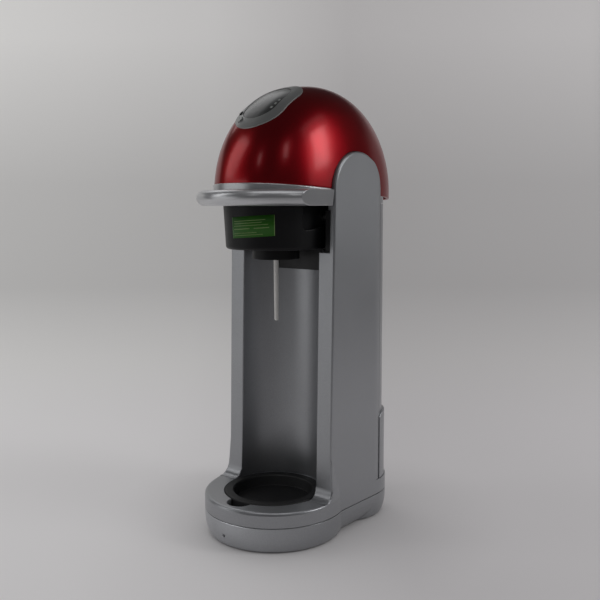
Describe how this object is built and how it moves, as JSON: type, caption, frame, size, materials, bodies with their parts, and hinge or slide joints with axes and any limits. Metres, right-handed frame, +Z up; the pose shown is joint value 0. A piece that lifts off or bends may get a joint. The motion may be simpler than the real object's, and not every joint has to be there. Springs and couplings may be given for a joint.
{
  "type": "sparkling water maker",
  "caption": "Counter-top sparkling water maker: silver tower with a bottle bay, red domed press lever with display, tilting bottle head, drip tray and gas cylinder.",
  "frame": {"origin": "on the floor under the middle of the outline", "axes": "+Z up, front towards -Y, +X to the user's right"},
  "size_m": [0.138, 0.22, 0.431],
  "materials": {
    "silver_shell": "satin metallic silver",
    "red_dome": "deep metallic red, glossy",
    "charcoal_plastic": "satin",
    "black_plastic": "matt",
    "dark_window": "clear over black, polished",
    "white_plastic": "satin",
    "steel": "plain",
    "brass": "machined",
    "aluminium": "brushed",
    "rubber": "matt",
    "board": "solder mask"
  },
  "bodies": {
    "body": {"front_shell": "silver_shell", "base_pan": "silver_shell", "rubber_feet": "rubber", "base_screws": "steel", "mechanism_frame": "black_plastic", "frame_screws": "steel", "lever_pins": "steel", "tilt_pins": "steel", "valve_block": "brass", "valve_screws": "steel", "cylinder_gasket": "rubber", "gas_tube": "steel", "gas_port": "brass", "port_seal": "rubber", "rocker_pin": "steel", "cylinder_rest": "rubber", "lever_springs": "steel", "valve_spring": "steel"},
    "lever": {"dome": "red_dome", "lever_visor": "silver_shell", "yoke_left": "black_plastic", "yoke_right": "black_plastic", "yoke_screws": "steel", "push_bar": "steel", "display_bezel": "silver_shell", "display_window": "dark_window", "lcd_module": "charcoal_plastic", "display_board": "board", "board_screws": "steel", "button_switches": "charcoal_plastic", "coin_cell": "steel"},
    "start_button": {"start_button": "silver_shell"},
    "reset_button": {"reset_button": "charcoal_plastic"},
    "rocker": {"rocker": "steel"},
    "plunger": {"valve_plunger": "brass"},
    "head": {"bottle_head": "charcoal_plastic", "bottle_collar": "black_plastic", "bottle_seal": "rubber", "nozzle": "white_plastic", "relief_valve": "brass", "head_cap": "black_plastic"},
    "tray": {"drip_tray": "charcoal_plastic"},
    "cover": {"rear_cover": "silver_shell", "latch_spring": "steel"},
    "latch": {"cover_latch": "charcoal_plastic"},
    "cylinder": {"gas_cylinder": "aluminium", "cylinder_valve": "brass"}
  },
  "joints": [
    {"name": "lever_press", "type": "hinge", "parent": "body", "child": "lever", "pos_m": [0, 0.008, 0.329], "axis": [1, 0, 0], "range_deg": [0, 5], "stiffness_Nm_per_rad": 8, "springref_deg": -2.29, "deforming": ["lever_springs"]},
    {"name": "rocker_turn", "type": "hinge", "parent": "body", "child": "rocker", "pos_m": [0, 0.067, 0.3897], "axis": [1, 0, 0], "range_deg": [0, 1.9]},
    {"name": "plunger_push", "type": "slide", "parent": "body", "child": "plunger", "axis": [0, 0, -1], "range_m": [0, 0.0009], "deforming": ["valve_spring"]},
    {"name": "start_press", "type": "slide", "parent": "lever", "child": "start_button", "axis": [0, 0.5592, -0.829], "range_m": [0, 0.0008], "stiffness_N_per_m": 400, "springref_m": -0.001},
    {"name": "reset_press", "type": "slide", "parent": "lever", "child": "reset_button", "axis": [0, 0.5592, -0.829], "range_m": [0, 0.0008], "stiffness_N_per_m": 400, "springref_m": -0.001},
    {"name": "head_tilt", "type": "hinge", "parent": "body", "child": "head", "pos_m": [0, -0.018, 0.306], "axis": [-1, 0, 0], "range_deg": [0, 10]},
    {"name": "tray_lift", "type": "slide", "parent": "body", "child": "tray", "axis": [0, 0, 1], "range_m": [0, 0.03]},
    {"name": "cover_pull", "type": "slide", "parent": "body", "child": "cover", "axis": [0, 1, 0], "range_m": [0, 0.06]},
    {"name": "latch_press", "type": "slide", "parent": "cover", "child": "latch", "axis": [0, 0, -1], "range_m": [0, 0.004], "stiffness_N_per_m": 300, "springref_m": -0.002, "deforming": ["latch_spring"]},
    {"name": "cylinder_unscrew", "type": "hinge", "parent": "body", "child": "cylinder", "pos_m": [0, 0.042, 0.36], "axis": [0, 0, -1], "range_deg": [0, 1080]}
  ],
  "couplings": [
    {"joint": "rocker_turn", "follows": "lever_press", "ratio": 0.375},
    {"joint": "plunger_push", "follows": "lever_press", "m_per_rad": 0.00974}
  ]
}
